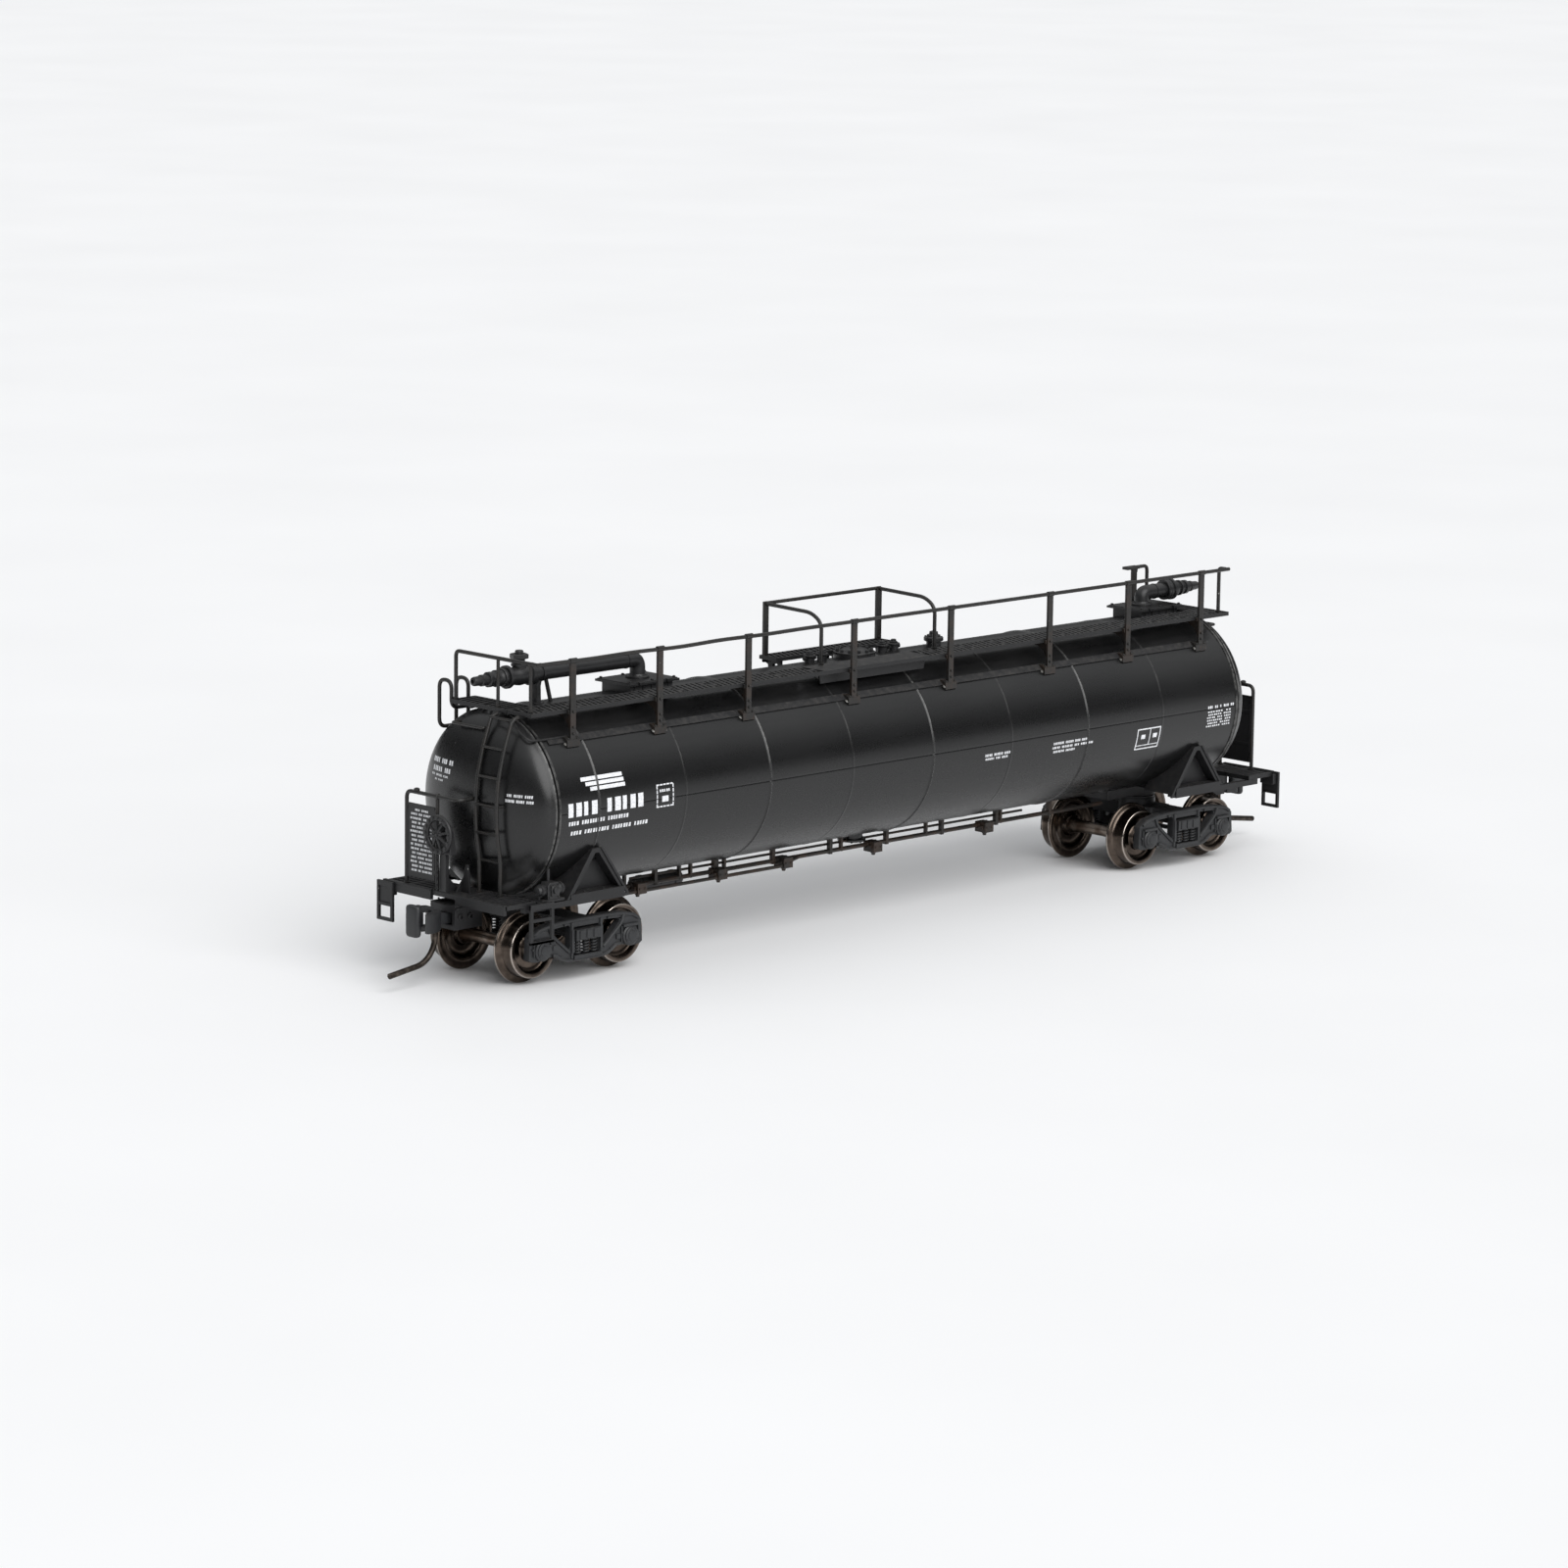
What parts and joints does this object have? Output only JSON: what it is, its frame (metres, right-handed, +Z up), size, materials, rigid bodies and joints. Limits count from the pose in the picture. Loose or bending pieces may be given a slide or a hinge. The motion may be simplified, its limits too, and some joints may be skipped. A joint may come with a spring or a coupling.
{
  "type": "model tank wagon",
  "caption": "Small-scale model of a bogie tank wagon with a full-length top walkway and handrail, loading pipes at both ends, swivelling trucks, turning wheelsets and working knuckle couplers.",
  "frame": {"origin": "on the centre line midway between the trucks, level with the lowest point of the wheel flanges; the rail head is 0.6 mm above it", "axes": "+X along the wagon from the hand brake end to the plain end, +Y across it away from the full-length walkway, +Z up"},
  "size_m": [0.1208, 0.0182, 0.0311],
  "materials": {
    "tank_black": "satin black paint on moulded plastic, smooth, with raised weld seams",
    "ballast_steel": "plain cut bar",
    "frame_black": "satin black moulded plastic",
    "screw_steel": "plated screw",
    "sign_black": "satin black with small white printed bars",
    "railing_black": "satin black flexible plastic wire",
    "walkway_black": "satin black tread grating",
    "fitting_black": "satin black moulded fittings",
    "brake_black": "satin black moulded brake gear",
    "truck_grey": "dark grey slippery engineering plastic",
    "axle_steel": "turned steel, light brown tarnish",
    "wheel_metal": "blackened brown turned metal with bright worn tread edges",
    "coupler_grey": "dark grey plastic",
    "trip_pin_metal": "blackened wire"
  },
  "bodies": {
    "wagon": {"tank_upper_shell": "tank_black", "tank_lower_shell": "tank_black", "tank_head_b": "tank_black", "tank_head_a": "tank_black", "ballast_bar": "ballast_steel", "underframe_b": "frame_black", "underframe_a": "frame_black", "end_decks": "frame_black", "side_steps": "frame_black", "corner_steps": "frame_black", "coupler_box_lids": "frame_black", "coupler_box_screws": "screw_steel", "truck_screws": "screw_steel", "sign_boards": "sign_black", "end_handrails": "railing_black", "end_ladders": "railing_black", "head_grab_bars": "railing_black", "shoulder_angle": "walkway_black", "top_walkway": "walkway_black", "handrail_posts": "railing_black", "side_handrail": "railing_black", "top_platform_b": "walkway_black", "top_platform_a": "walkway_black", "platform_rail_b": "railing_black", "platform_rail_a": "railing_black", "ladder_hoops": "railing_black", "valve_boxes": "fitting_black", "valve_box_lids": "fitting_black", "loading_pipe_b": "fitting_black", "loading_pipe_a": "fitting_black", "pipe_valve_b": "fitting_black", "pipe_valve_a": "fitting_black", "hose_nozzle_b": "fitting_black", "hose_nozzle_a": "fitting_black", "manway_cover": "fitting_black", "vent_valves": "fitting_black", "centre_platform": "walkway_black", "centre_railing": "railing_black", "brake_wheel": "brake_black", "brake_housing": "brake_black", "brake_valve": "brake_black", "air_reservoir": "brake_black", "brake_pipe": "brake_black"},
    "truck_b": {"truck_frame_b": "truck_grey"},
    "truck_a": {"truck_frame_a": "truck_grey"},
    "wheelset_1": {"axle_1": "axle_steel", "wheels_1": "wheel_metal"},
    "wheelset_2": {"axle_2": "axle_steel", "wheels_2": "wheel_metal"},
    "wheelset_3": {"axle_3": "axle_steel", "wheels_3": "wheel_metal"},
    "wheelset_4": {"axle_4": "axle_steel", "wheels_4": "wheel_metal"},
    "coupler_b": {"coupler_head_b": "coupler_grey", "trip_pin_b": "trip_pin_metal"},
    "coupler_a": {"coupler_head_a": "coupler_grey", "trip_pin_a": "trip_pin_metal"},
    "knuckle_b": {"knuckle_b": "coupler_grey"},
    "knuckle_a": {"knuckle_a": "coupler_grey"}
  },
  "joints": [
    {"name": "truck_b_swivel", "type": "hinge", "parent": "wagon", "child": "truck_b", "pos_m": [-0.042, 0, 0.0066], "axis": [0, 0, 1], "range_deg": [-10, 10]},
    {"name": "truck_a_swivel", "type": "hinge", "parent": "wagon", "child": "truck_a", "pos_m": [0.042, 0, 0.0066], "axis": [0, 0, 1], "range_deg": [-10, 10]},
    {"name": "wheelset_1_spin", "type": "hinge", "parent": "truck_b", "child": "wheelset_1", "pos_m": [-0.04755, 0, 0.00346], "axis": [0, 1, 0], "continuous": true},
    {"name": "wheelset_2_spin", "type": "hinge", "parent": "truck_b", "child": "wheelset_2", "pos_m": [-0.03645, 0, 0.00346], "axis": [0, 1, 0], "continuous": true},
    {"name": "wheelset_3_spin", "type": "hinge", "parent": "truck_a", "child": "wheelset_3", "pos_m": [0.03645, 0, 0.00346], "axis": [0, 1, 0], "continuous": true},
    {"name": "wheelset_4_spin", "type": "hinge", "parent": "truck_a", "child": "wheelset_4", "pos_m": [0.04755, 0, 0.00346], "axis": [0, 1, 0], "continuous": true},
    {"name": "coupler_b_swing", "type": "hinge", "parent": "wagon", "child": "coupler_b", "pos_m": [-0.052, 0, 0.0064], "axis": [0, 0, 1], "range_deg": [-12, 12], "stiffness_Nm_per_rad": 0.00002},
    {"name": "knuckle_b_open", "type": "hinge", "parent": "coupler_b", "child": "knuckle_b", "pos_m": [-0.05595, 0.001, 0.0064], "axis": [0, 0, -1], "range_deg": [0, 22], "stiffness_Nm_per_rad": 0.000005},
    {"name": "coupler_a_swing", "type": "hinge", "parent": "wagon", "child": "coupler_a", "pos_m": [0.052, 0, 0.0064], "axis": [0, 0, 1], "range_deg": [-12, 12], "stiffness_Nm_per_rad": 0.00002},
    {"name": "knuckle_a_open", "type": "hinge", "parent": "coupler_a", "child": "knuckle_a", "pos_m": [0.05595, -0.001, 0.0064], "axis": [0, 0, -1], "range_deg": [0, 22], "stiffness_Nm_per_rad": 0.000005}
  ]
}
